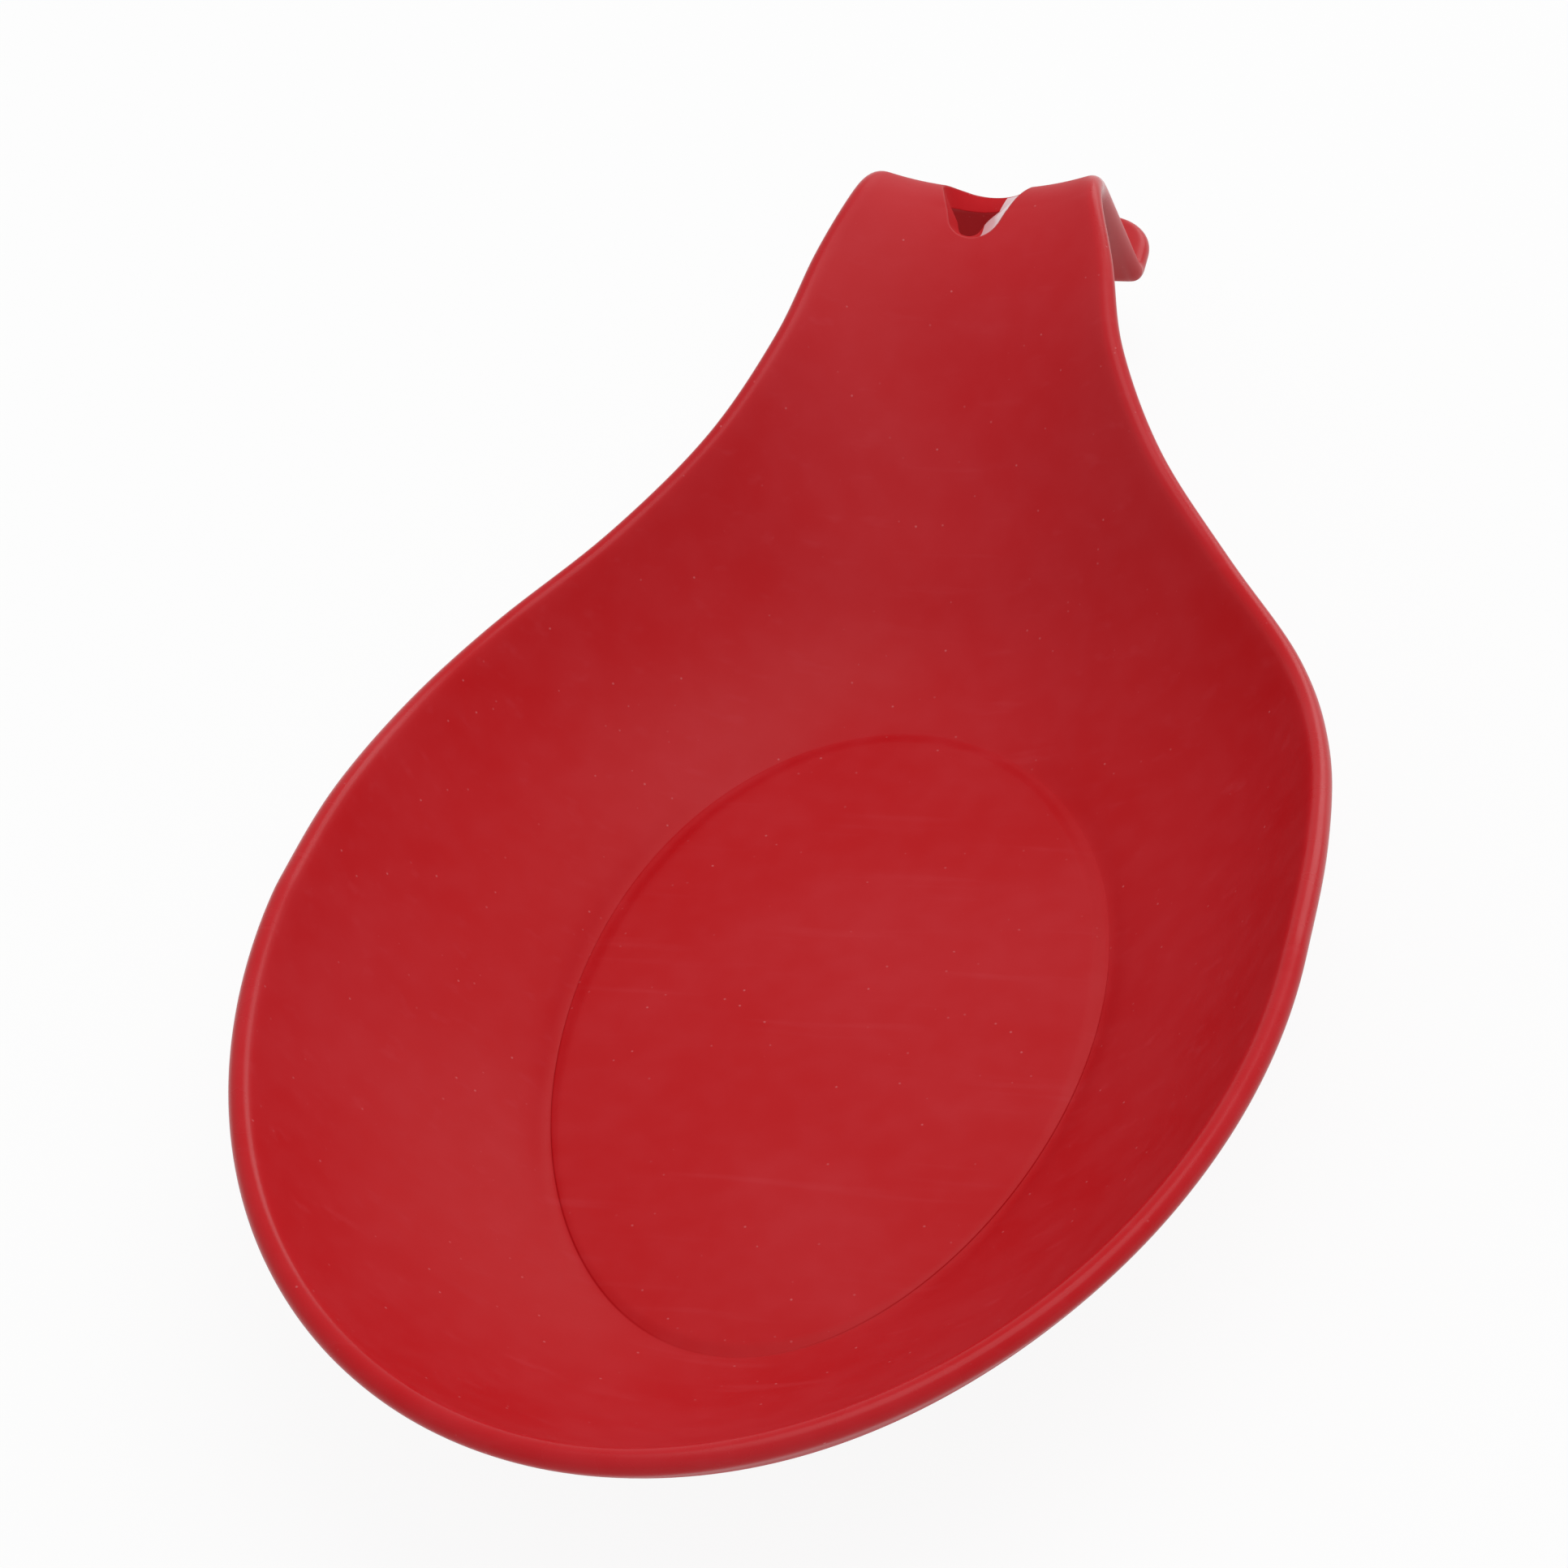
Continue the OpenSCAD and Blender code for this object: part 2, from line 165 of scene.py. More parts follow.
def steepness_at_join(angle, g):
    """Steepness that a wall line needs to run on smoothly into the neck."""
    start, end = floor_edge(angle), neck_point(JOIN, g)
    width = back_rim(JOIN)[0]
    rise = (neck_slope(JOIN, g) * (end[1] - start[1])
            + 2 * neck_sag(JOIN) * g / width * (end[0] - start[0]))
    return rise / (end[2] - HALF)


def wall_line(k):
    """Floor angle, upper end and upper steepness of line k, front to back."""
    if k <= N_FRONT:
        s = k / N_FRONT
        angle = -math.pi / 2 + (WIDE_ANGLE + math.pi / 2) * s
        return angle, front_rim(math.pi / 2 * s), TOP
    if k <= N_FRONT + N_BACK:
        s = (k - N_FRONT) / N_BACK
        angle = WIDE_ANGLE + (JOIN_ANGLE - WIDE_ANGLE) * s
        corner = steepness_at_join(JOIN_ANGLE, 1)
        return angle, back_rim(JOIN * s), TOP + (corner - TOP) * ease(s)
    s = (k - N_FRONT - N_BACK) / N_ACROSS
    angle = JOIN_ANGLE + (math.pi / 2 - JOIN_ANGLE) * s
    return angle, neck_point(JOIN, 1 - s), steepness_at_join(angle, 1 - s)


def climb(line, s):
    """Point at share s of the way up a line of the wall."""
    angle, end, top = line
    start = floor_edge(angle)
    steeper = SIDE_FOOT * max(math.cos(angle), 0) ** 2 * ease(min(s / SOFT_FOOT, 1))
    shape = s * (1 - s) ** 2 * (FOOT + steeper) + ease(s) - s * s * (1 - s) * top
    point = start + (end - start) * s
    point[2] = HALF + (end[2] - HALF) * shape
    return point


right_lines = [wall_line(k) for k in range(N_FRONT + N_BACK + N_ACROSS + 1)]
print("lines round the dish:", 2 * len(right_lines) - 2)

# %% [markdown]
# All the regions of the sheet go into one list of points, in which a point that two
# regions share is stored once. That is what makes the moulding seamless: the normals
# and the subdivision then run across the places where the regions meet.

# %% One list of points for the whole sheet
points, faces, numbers = [], [], {}


def number_of(point):
    """Place of a point in the list, to which it is added if it is new."""
    key = tuple(round(float(c), 4) + 0.0 for c in point)
    if key not in numbers:
        numbers[key] = len(points)
        points.append(np.array(point, float))
    return numbers[key]


def lay_grid(rows, closed=False):
    """Joins neighbouring points of a grid with four-sided faces."""
    ids = [[number_of(p) for p in row] for row in rows]
    for low, high in zip(ids, ids[1:]):
        last = len(low) if closed else len(low) - 1
        for j in range(last):
            k = (j + 1) % len(low)
            corners = list(dict.fromkeys((low[j], high[j], high[k], low[k])))
            if len(corners) > 2:
                faces.append(corners)
    return ids


def mirrored(ring):
    """Completes a half ring, from the front's middle to the back's middle."""
    return ring + [p * (-1, 1, 1) for p in ring[-2:0:-1]]


print("the list is ready")

# %% [markdown]
# The floor is flat, but its rings crowd together near its edge. The raised oval on top
# of it gets its soft step there, and a step needs points to be drawn with.

# %% The dish, from the middle of its floor to the rim
INSETS = [0, 0.25, 0.5, 0.75, 1.0, 1.25, 1.5, 1.75, 2.0, 2.4, 3.4, 6, 10, 15, 20]
floor_rings = [mirrored([floor_edge(line[0], inset) for line in right_lines])
               for inset in reversed(INSETS)]
wall_rings = [mirrored([climb(line, i / N_WALL) for line in right_lines])
              for i in range(1, N_WALL + 1)]
inner = lay_grid(floor_rings + wall_rings, closed=True)[0]
centre = number_of(np.array([0.0, FLOOR_MIDDLE, HALF]))
faces += [[centre, inner[j], inner[(j + 1) % len(inner)]] for j in range(len(inner))]
print("dish faces:", len(faces))

# %% [markdown]
# The neck is the plainest region: rows of points straight across the sheet, which start
# on the last line of the dish and stop just in front of the notch. A lofted surface
# would look the same, but rows from one formula share their points with the dish.

# %% The neck, from the dish to just in front of the notch
NECK_ROWS = 24
across = np.linspace(1, -1, 2 * N_ACROSS + 1)
lay_grid([[neck_point(t, g) for g in across]
          for t in np.linspace(JOIN, NOTCH_STATION, NECK_ROWS + 1)])
print("dish and neck faces:", len(faces))

# %% [markdown]
# Behind the crest the sheet runs like a bent strip of metal: an arc over the top, a
# straight slope down, a tight bend and a flat lip. A place on the strip is its distance
# s behind the top of the crest, measured along the middle of the sheet. That makes it
# possible to draw the notch flat and to bend it over the crest afterwards.

# %% The strip behind the crest
CURL, SLOPE = 9.2, math.radians(63)     # radius over the crest, and slope of the tail
WAIST_X, TAIL_X, TAIL_SAG = 11.6, 12.6, 1.2
BEND, LIP_Z, LIP_LENGTH = 3.0, 12.9, 9.3
ARC = CURL * SLOPE
arc_end = np.array([CREST_Y + CURL * math.sin(SLOPE), CREST_Z - CURL * (1 - math.cos(SLOPE))])
bend_drop = BEND * (1 - math.cos(SLOPE))
STRAIGHT = (arc_end[1] - LIP_Z - bend_drop) / math.sin(SLOPE)
straight_end = arc_end + STRAIGHT * np.array([math.cos(SLOPE), -math.sin(SLOPE)])
bend_end = straight_end + np.array([BEND * math.sin(SLOPE), -bend_drop])
LENGTH = bend_end[0] + LIP_LENGTH + HALF
places = np.linspace(0, CREST_STATION, 1601)
y_of_places = np.array([back_rim(t)[1] for t in places])


def place_on_neck(s):
    """Place t along the neck that lies at s, which is negative there."""
    return float(np.interp(CREST_Y + s, y_of_places, places))


def half_width(s):
    if s < 0:
        return back_rim(place_on_neck(s))[0]
    if s > ARC:
        return WAIST_X + (TAIL_X - WAIST_X) * min((s - ARC) / STRAIGHT, 1)
    t = s / ARC
    before, behind = STATIONS[CREST_STATION - 1], STATIONS[CREST_STATION + 1]
    narrowing = (behind[0] - before[0]) / (behind[1] - before[1])
    widening = (TAIL_X - WAIST_X) / STRAIGHT
    return ((1 + 2 * t) * (1 - t) ** 2 * CREST_X + ease(t) * WAIST_X
            + ARC * t * (1 - t) * ((1 - t) * narrowing - t * widening))


def on_middle(x, s):
    """Middle of the sheet, x across and s behind the top of the crest."""
    if s < 0:
        t = place_on_neck(s)
        return neck_point(t, x / back_rim(t)[0])
    if s < ARC:
        tilt, share = s / CURL, s / ARC
        y, z = CREST_Y + CURL * math.sin(tilt), CREST_Z - CURL * (1 - math.cos(tilt))
        sag = CREST_SAG + (TAIL_SAG - CREST_SAG) * share
    else:
        tilt, share = SLOPE, (s - ARC) / STRAIGHT
        y, z = arc_end + (straight_end - arc_end) * share
        sag = TAIL_SAG * (1 - share)
    dip = -sag * (1 - (x / half_width(s)) ** 2)
    return np.array([x, y + dip * math.sin(tilt), z + dip * math.cos(tilt)])


print("length in mm:", round(LENGTH, 2))

# %% [markdown]
# A Boolean could cut the notch, but it would leave slivers that shade badly. A hole is
# easier to keep clean when the mesh is laid round it. Rings run from the teardrop
# outline of the notch out to the four-sided patch of sheet that holds it. The cut isn't
# square to the sheet: the hole is wider on top than underneath, and its edges are
# rounded, so each ring is found again for the top and for the underside.

# %% The notch's outline and the rings round it
NOTCH_WIDE, NOTCH_TIP = 5.0, 3.1        # radii of the teardrop's rear and front
NOTCH_FRONT, NOTCH_REAR = -1.2, 6.0     # and where their middles are
NARROWER, SHIFT, SKEW = 2.1, 0.4, 1.0   # how the hole changes towards the underside
TOP_ROUND, UNDER_ROUND = 0.12, 0.2      # how far the rounding of its edges reaches
SHARPEST_TIP = 0.2
N_SIDE, N_RINGS, RING_POWER = 22, 12, 1.3
PATCH_FRONT = STATIONS[NOTCH_STATION][1] - CREST_Y
PATCH_BACK = NOTCH_REAR + NOTCH_WIDE + SHEET
notch_middle = np.array([0.0, 4.0])
flare = math.asin((NOTCH_WIDE - NOTCH_TIP) / (NOTCH_REAR - NOTCH_FRONT))

sides = np.linspace(PATCH_FRONT, PATCH_BACK, N_SIDE + 1)
patch_edge = np.array(
    [(-g * half_width(PATCH_FRONT), PATCH_FRONT) for g in across]
    + [(half_width(s), s) for s in sides[1:]]
    + [(g * half_width(PATCH_BACK), PATCH_BACK) for g in across[1:]]
    + [(-half_width(s), s) for s in sides[-2:0:-1]])


def outline(inset):
    """The notch's teardrop in the plane (x, s), this much inside the top's outline.

    It has one point on the line from the notch's middle to each point of the patch's edge.
    """
    tip, wide = max(NOTCH_TIP - inset, SHARPEST_TIP), NOTCH_WIDE - inset
    share = max(inset, 0) / NARROWER
    tip_at = NOTCH_FRONT + (tip - NOTCH_TIP + inset) / math.sin(flare) + SHIFT * share
    dense = []
    for angle in np.linspace(-math.pi, math.pi, 721)[:-1]:
        behind = abs(angle) < math.pi / 2 + flare
        r, s = (wide, NOTCH_REAR + SHIFT * share) if behind else (tip, tip_at)
        dense.append((r * math.sin(angle) - SKEW * share, s + r * math.cos(angle)))
    dense = np.array(dense)
    dense = np.vstack([a + (b - a) * np.linspace(0, 1, 12)[:, None][:-1]
                       for a, b in zip(dense, np.roll(dense, -1, axis=0))])
    rays = dense - notch_middle
    angles = np.arctan2(rays[:, 1], rays[:, 0])
    order = np.argsort(angles)
    towards = patch_edge - notch_middle
    reach = np.interp(np.arctan2(towards[:, 1], towards[:, 0]), angles[order],
                      np.hypot(*rays[order].T), period=2 * math.pi)
    return notch_middle + towards / np.hypot(*towards.T)[:, None] * reach[:, None]


def ring_at(share, inset):
    """A ring part of the way from the notch's outline to the edge of its patch."""
    hole = outline(inset)
    return hole + (patch_edge - hole) * share


ring_shares = [(i / N_RINGS) ** RING_POWER for i in range(N_RINGS + 1)]
hole_rings = [ring_at(share, NARROWER / 2) for share in ring_shares]
hole_ids = lay_grid([[on_middle(x, s) for x, s in ring] for ring in hole_rings], closed=True)
print("points round the notch:", len(hole_ids[0]))

# %% [markdown]
# The tail goes on from the notch's patch and keeps a little of the gutter, which runs out
# at the bend. The lip is flat, and its two corners are quarter circles. They are made
# by letting the rows get narrower, so the grid stays four-sided up to its end.

# %% The tail, its bend and the lip
LIP_CORNER = 5.4
TAIL_ROWS, BEND_ROWS, FLAT_ROWS, CORNER_ROWS = 12, 8, 6, 8


def strip_row(y, z, width):
    return [np.array([g * width, y, z]) for g in across]


tail_rows = [[on_middle(g * half_width(s), s) for g in across]
             for s in np.linspace(PATCH_BACK, ARC + STRAIGHT, TAIL_ROWS + 1)]
bend_rows = [strip_row(bend_end[0] - BEND * math.sin(a), LIP_Z + BEND * (1 - math.cos(a)), TAIL_X)
             for a in np.linspace(SLOPE, 0, BEND_ROWS + 1)[1:]]
flat = LIP_LENGTH - HALF - LIP_CORNER
lip_rows = [strip_row(bend_end[0] + flat * i / FLAT_ROWS, LIP_Z, TAIL_X)
            for i in range(1, FLAT_ROWS + 1)]
for i in range(1, CORNER_ROWS + 1):
    a = math.pi / 2 * i / CORNER_ROWS
    lip_rows.append(strip_row(bend_end[0] + flat + LIP_CORNER * math.sin(a), LIP_Z,
                              TAIL_X - LIP_CORNER * (1 - math.cos(a))))
lay_grid(tail_rows + bend_rows + lip_rows)
print("middle surface:", len(points), "points,", len(faces), "faces")

# %% [markdown]
# Thickness could come from a Solidify modifier, but the rim of this moulding is fully
# round and the notch has slanting walls, which that modifier can't make. So the top
# and the underside are set off from the middle surface along its own normals, and the
# open edges are closed with arcs.

# %% Normals of the middle surface
middle_points = np.array(points)
normals = np.zeros_like(middle_points)
for face in faces:
    corners = middle_points[face]
    normals[face] += np.cross(corners[2] - corners[0], corners[-1] - corners[1])
normals /= np.linalg.norm(normals, axis=1)[:, None]


def sheet_point(x, s, lift):
    """A point set off from the middle of the strip by a distance along its normal."""
    d = 0.05
    along = on_middle(x, s + d) - on_middle(x, s - d)
    side = on_middle(x + d, s) - on_middle(x - d, s)
    normal = np.cross(side, along)
    return on_middle(x, s) + normal / np.linalg.norm(normal) * lift


print("steepest normal:", round(float(normals[:, 2].min()), 3))

# %% [markdown]
# The floor has an oval a little higher than the rest of it, with a soft step round it.
# It strengthens the part that stands on the table. A disc laid on the floor would show
# a seam, so the points of the top surface are lifted there and the underside stays flat.

# %% Top and underside
PAD_STEP, PAD_BEVEL = 0.34, 1.9


def pad_lift(p):
    """How much the raised oval adds to the top surface at a point of the floor."""
    if p[2] > HALF + 1e-6:
        return 0.0
    x, y = abs(p[0]), p[1] - FLOOR_MIDDLE
    size = math.hypot(x / FLOOR_X, y / FLOOR_Y)
    inset = (1 - size) * math.hypot(x, y) / max(size, 1e-6)
    return PAD_STEP * ease(min(max(inset / PAD_BEVEL, 0), 1))


top = middle_points + normals * HALF
top[:, 2] += [pad_lift(p) for p in middle_points]
under = middle_points - normals * HALF
for share, ids in zip(ring_shares[:-1], hole_ids[:-1]):
    for side, inset, lift in ((top, -TOP_ROUND, HALF), (under, NARROWER - UNDER_ROUND, -HALF)):
        for i, (x, s) in zip(ids, ring_at(share, inset)):
            side[i] = sheet_point(x, s, lift)
print("thickness at the middle of the floor:", round(float(top[centre, 2] - under[centre, 2]), 2))

# %% [markdown]
# An edge that only one face uses is an open edge. Each face goes round its corners in
# the same sense, so every open edge has a direction, and following them from point to
# point gives the rim as one closed loop. The notch has a loop of its own.

# %% Open edges of the sheet, in order
used = {(a, b) for face in faces for a, b in zip(face, face[1:] + face[:1])}
following = {a: b for a, b in used if (b, a) not in used}
notch_set = set(hole_ids[0])
start = next(a for a in sorted(following) if a not in notch_set)
rim_loop = [start]
while following[rim_loop[-1]] != start:
    rim_loop.append(following[rim_loop[-1]])
print("open edges:", len(rim_loop), "round the rim,", len(notch_set), "round the notch")

# %% [markdown]
# The rim gets half a circle of points from the top to the underside, because the edge
# of a moulded sheet of rubber is round. The arcs are made point by point, since a Bevel
# modifier would have to find the edge again after each change.

# %% Close the rim
vertices = list(top) + list(under)
n_middle = len(middle_points)
solid_faces = [list(f) for f in faces] + [[i + n_middle for i in reversed(f)] for f in faces]
N_ARC = 8


def close_edge(loop, profiles):
    """Faces between the top and the underside of a loop, through profile points."""
    columns = []
    for i, profile in zip(loop, profiles):
        first = len(vertices)
        vertices.extend(profile)
        columns.append([i] + list(range(first, len(vertices))) + [i + n_middle])
    for a, b in zip(columns, columns[1:] + columns[:1]):
        for k in range(len(a) - 1):
            solid_faces.append([a[k], a[k + 1], b[k + 1], b[k]])


rim_profiles = []
for k, i in enumerate(rim_loop):
    before, after = rim_loop[k - 1], rim_loop[(k + 1) % len(rim_loop)]
    out = np.cross(middle_points[after] - middle_points[before], normals[i])
    out /= np.linalg.norm(out)
    rim_profiles.append([
        middle_points[i] + HALF * (normals[i] * math.cos(a) + out * math.sin(a))
        for a in np.linspace(0, math.pi, N_ARC + 1)[1:-1]])
close_edge(rim_loop, rim_profiles)
print("faces with a closed rim:", len(solid_faces))

# %% [markdown]
# The notch gets a straight slanting wall with a rounded corner at each end, drawn as a
# short quadratic Bezier curve. The slant is what shows the wall to the camera.

# %% Close the notch
def bend_round(a, corner, b, u):
    """Point at u on the quadratic Bezier curve from a to b."""
    return (1 - u) ** 2 * a + 2 * u * (1 - u) * corner + u * u * b


def notch_profile():
    """Rounded top corner, slanting wall and rounded lower corner: (inset, lift)."""
    cut = [(-TOP_ROUND, HALF), (0, HALF), (NARROWER, -HALF), (NARROWER - UNDER_ROUND, -HALF)]
    cut = [np.array(c) for c in cut]
    wall = (cut[2] - cut[1]) / np.linalg.norm(cut[2] - cut[1])
    high, low = cut[1] + wall * TOP_ROUND, cut[2] - wall * UNDER_ROUND
    upper = [bend_round(cut[0], cut[1], high, u) for u in (0.2, 0.4, 0.6, 0.8, 1)]
    straight = [high + (low - high) * u for u in (0.33, 0.67)]
    lower = [bend_round(low, cut[2], cut[3], u) for u in (0, 0.25, 0.5, 0.75)]
    return upper, straight, lower


upper, straight, lower = notch_profile()
wall_loops = [[sheet_point(x, s, lift) for x, s in outline(inset)]
              for inset, lift in upper + straight + lower]
notch_columns = [[loop[k] for loop in wall_loops] for k in range(len(patch_edge))]
first_wall_face = len(solid_faces)
close_edge(list(reversed(hole_ids[0])), list(reversed(notch_columns)))
print("closed sheet:", len(vertices), "points,", len(solid_faces), "faces")

# %% [markdown]
# Soft rubber is never quite straight. In the photograph the front and the tail are both
# pulled a little to the left and the crest leans, so the points are shifted before they
# become a mesh. One level of subdivision then takes the corners off the grid. The mesh
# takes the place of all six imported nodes, because the real object is one piece.

# %% Make the moulding
BOW_FRONT, BOW_REAR, LEAN = 0.75, 0.5, 0.01
BOW_MIDDLE = BOW_REACH = 85
placed = np.array(vertices)
far = np.clip((placed[:, 1] - BOW_MIDDLE) / BOW_REACH, -1, 1)
placed[:, 2] -= LEAN * placed[:, 0] * np.maximum(far, 0) ** 2
placed[:, 0] -= np.where(far < 0, BOW_FRONT, BOW_REAR) * far ** 2
MIDDLE = HALF - LENGTH / 2
placed[:, 1] += MIDDLE
placed *= MM
mesh = bpy.data.meshes.new("spoon_rest_moulding")
mesh.from_pydata([tuple(v) for v in placed], [], solid_faces)
mesh.validate()
mesh.polygons.foreach_set("use_smooth", [True] * len(mesh.polygons))
moulding = bpy.data.objects.new("spoon_rest_moulding", mesh)
bpy.context.scene.collection.objects.link(moulding)
finer = moulding.modifiers.new("finer surface", "SUBSURF")
finer.levels = finer.render_levels = 1
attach(moulding, "root")
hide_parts("floor_pad", "dish_wall", "neck", "crest", "tail", "lip")
print("moulding:", len(mesh.vertices), "points before subdivision")

# %% [markdown]
# Silicone looks matt, but it isn't one flat colour. The pigment is a little cloudy, a
# dry bloom makes some places paler, and the rubber picks up tiny specks of dust. All
# of that could be painted on an image, but noise textures that are measured in
# millimetres stay sharp at any distance. They are built from a few small helpers.

# %% Helpers for shader nodes
def add_node(tree, kind, values=None, **settings):
    """A new node with its settings and, by socket, its plain values."""
    made = tree.nodes.new(kind)
    for name, value in settings.items():
        setattr(made, name, value)
    for socket, value in (values or {}).items():
        made.inputs[socket].default_value = value
    return made


def calculate(tree, operation, a, b, clamp=False):
    """A Math node on two numbers, each a socket or a plain value."""
    made = add_node(tree, "ShaderNodeMath", operation=operation, use_clamp=clamp)
    for socket, value in enumerate((a, b)):
        if isinstance(value, (int, float)):
            made.inputs[socket].default_value = value
        else:
            tree.links.new(value, made.inputs[socket])
    return made.outputs[0]


def soft_step(tree, value, low, high):
    """0 below low, 1 above high and a soft step between them."""
    made = add_node(tree, "ShaderNodeMapRange", {"From Min": low, "From Max": high},
                    interpolation_type="SMOOTHSTEP")
    tree.links.new(value, made.inputs["Value"])
    return made.outputs["Result"]


def blend_colours(tree, share, a, b):
    made = add_node(tree, "ShaderNodeMix", data_type="RGBA")
    for socket, value in ((0, share), (6, a), (7, b)):
        tree.links.new(value, made.inputs[socket])
    return made.outputs[2]


def grain(tree, place, size, detail):
    """Noise whose blobs are about this many millimetres across."""
    made = add_node(tree, "ShaderNodeTexNoise", {"Scale": 1 / size, "Detail": detail})
    tree.links.new(place, made.inputs["Vector"])
    return made.outputs["Fac"]


def in_millimetres(tree, squeeze=(1, 1, 1)):
    """The object's own coordinates in millimetres, squeezed along the axes."""
    place = add_node(tree, "ShaderNodeTexCoord")
    made = add_node(tree, "ShaderNodeVectorMath", operation="MULTIPLY")
    made.inputs[1].default_value = [share / MM for share in squeeze]
    tree.links.new(place.outputs["Object"], made.inputs[0])
    return made.outputs[0]


def open_group(name, inputs, outputs):
    """A node group with these sockets: name and default, and name and kind."""
    group = bpy.data.node_groups.new(name, "ShaderNodeTree")
    for label, value in inputs:
        kind = "NodeSocketColor" if isinstance(value, tuple) else "NodeSocketFloat"
        socket = group.interface.new_socket(label, in_out="INPUT", socket_type=kind)
        socket.default_value = value
    for label, kind in outputs:
        group.interface.new_socket(label, in_out="OUTPUT", socket_type=kind)
    return (group, add_node(group, "NodeGroupInput").outputs,
            add_node(group, "NodeGroupOutput").inputs)


print("helpers for shader nodes are ready")

# %% [markdown]
# The colour goes into a node group, because four finishes of the same rubber need it
# with other amounts. Clouds are wide and soft, the mottle is fine, and the streaks are
# wipe marks along x. The dust specks are small balls in space, one in each cell of a
# Voronoi texture. A speck shows where the surface cuts through a ball, and a random
# number of the cell leaves most of the balls out.

# %% Group: colour of the silicone
CLOUD, MOTTLE, STREAK, SPECK_CELL = 26, 3.2, 1.4, 1.5      # sizes in millimetres
SHEEN_FROM, SHEEN_TO = 5, 80                           # y where the neck and the crest get a painted sheen
tint, given, result = open_group("silicone tint", [
    ("Pigment", (0.45, 0.0015, 0.0045, 1)), ("Bloom", (0.48, 0.020, 0.027, 1)),
    ("Speck", (0.60, 0.14, 0.15, 1)), ("Cloudiness", 0.5), ("Painted Sheen", 0.3),
    ("Rubbed", 0.0), ("Dustiness", 0.5)],
    [("Color", "NodeSocketColor"), ("Pale", "NodeSocketFloat"), ("Specks", "NodeSocketFloat")])

place = in_millimetres(tint)
along_x = in_millimetres(tint, (0.06, 0.8, 0.8))
clouds = soft_step(tint, grain(tint, place, CLOUD, 3), 0.36, 0.70)
mottle = soft_step(tint, grain(tint, place, MOTTLE, 4), 0.30, 0.75)
streaks = soft_step(tint, grain(tint, along_x, STREAK, 2), 0.58, 0.80)
pale = calculate(tint, "ADD", calculate(tint, "MULTIPLY", clouds, 0.62),
                 calculate(tint, "MULTIPLY", mottle, 0.30))
pale = calculate(tint, "MULTIPLY", pale, given["Cloudiness"])
# Painted sheen: the neck and the crest are made paler, where their top mirrors the bright
# backdrop behind.
apart = add_node(tint, "ShaderNodeSeparateXYZ")
tint.links.new(place, apart.inputs[0])
sheen_zone = soft_step(tint, apart.outputs["Y"], SHEEN_FROM, SHEEN_TO)
pale = calculate(tint, "ADD", pale, calculate(tint, "MULTIPLY", sheen_zone, given["Painted Sheen"]))
rubbed = calculate(tint, "MULTIPLY", streaks, given["Rubbed"])
pale = calculate(tint, "ADD", pale, rubbed, clamp=True)

cells = add_node(tint, "ShaderNodeTexVoronoi", {"Scale": 1 / SPECK_CELL})
tint.links.new(place, cells.inputs["Vector"])
pick = add_node(tint, "ShaderNodeSeparateColor")
tint.links.new(cells.outputs["Color"], pick.inputs["Color"])
near = calculate(tint, "SUBTRACT", 1, soft_step(tint, cells.outputs["Distance"], 0.04, 0.11))
specks = calculate(tint, "MULTIPLY", near, soft_step(tint, pick.outputs["Red"], 0.45, 1.0))
specks = calculate(tint, "MULTIPLY", specks, given["Dustiness"])

body = blend_colours(tint, pale, given["Pigment"], given["Bloom"])
tint.links.new(blend_colours(tint, specks, body, given["Speck"]), result["Color"])
tint.links.new(pale, result["Pale"])
tint.links.new(specks, result["Specks"])
print("silicone tint:", len(tint.nodes), "nodes")

# %% [markdown]
# The mould's steel was sandblasted, and that left a very fine grain on the rubber. The
# sheet also isn't perfectly even, so wide and shallow waves lie under the grain. The
# group gives a height in millimetres and a roughness that changes from place to place,
# which breaks up the highlights more than a colour could.

# %% Group: skin left by the mould
FINE, WAVE, PATCH = 0.34, 16, 7         # sizes in millimetres
SPECK_HEIGHT = 0.03
skin, given, result = open_group("moulded skin", [
    ("Grain Height", 0.004), ("Wave Height", 0.03), ("Least Rough", 0.42),
    ("Most Rough", 0.60), ("Pale", 0.0), ("Specks", 0.0)],
    [("Height", "NodeSocketFloat"), ("Roughness", "NodeSocketFloat")])

place = in_millimetres(skin)
fine = calculate(skin, "MULTIPLY", grain(skin, place, FINE, 2), given["Grain Height"])
waves = calculate(skin, "MULTIPLY", grain(skin, place, WAVE, 1), given["Wave Height"])
dust = calculate(skin, "MULTIPLY", given["Specks"], SPECK_HEIGHT)
height = calculate(skin, "ADD", calculate(skin, "ADD", fine, waves), dust)
skin.links.new(height, result["Height"])
patches = calculate(skin, "MULTIPLY", grain(skin, place, PATCH, 4), 0.7)
uneven = calculate(skin, "ADD", patches, calculate(skin, "MULTIPLY", given["Pale"], 0.5),
                   clamp=True)
wanted = add_node(skin, "ShaderNodeMapRange")
skin.links.new(uneven, wanted.inputs["Value"])
skin.links.new(given["Least Rough"], wanted.inputs["To Min"])
skin.links.new(given["Most Rough"], wanted.inputs["To Max"])
skin.links.new(wanted.outputs["Result"], result["Roughness"])
print("moulded skin:", len(skin.nodes), "nodes")

# %% [markdown]
# Four finishes are made of the same rubber. The matt one covers the dish, the neck and
# the rim. The satin one covers the side of the curl behind the crest, which mirrors the
# white table at a flat angle, and its pale pink colour there is a painted sheen. The rough
# one is a shaded copy for the walls of the notch and for what is seen through it: less
# bloom and less specular paint shade there. The notch's right wall shows as a nearly white
# band, so it is polished, and its pale pink colour is a painted reflection of the white
# surroundings. A number stored in the mesh says where the edges are rounded and how high
# on the curl a point is, and makes the rubber smoother there and paler as a painted highlight.

# %% Finishes of the silicone
HIGHLIGHT_SHARE, SMOOTHER = 0.15, 0.24            # painted highlight and loss of roughness that a full rounded edge adds
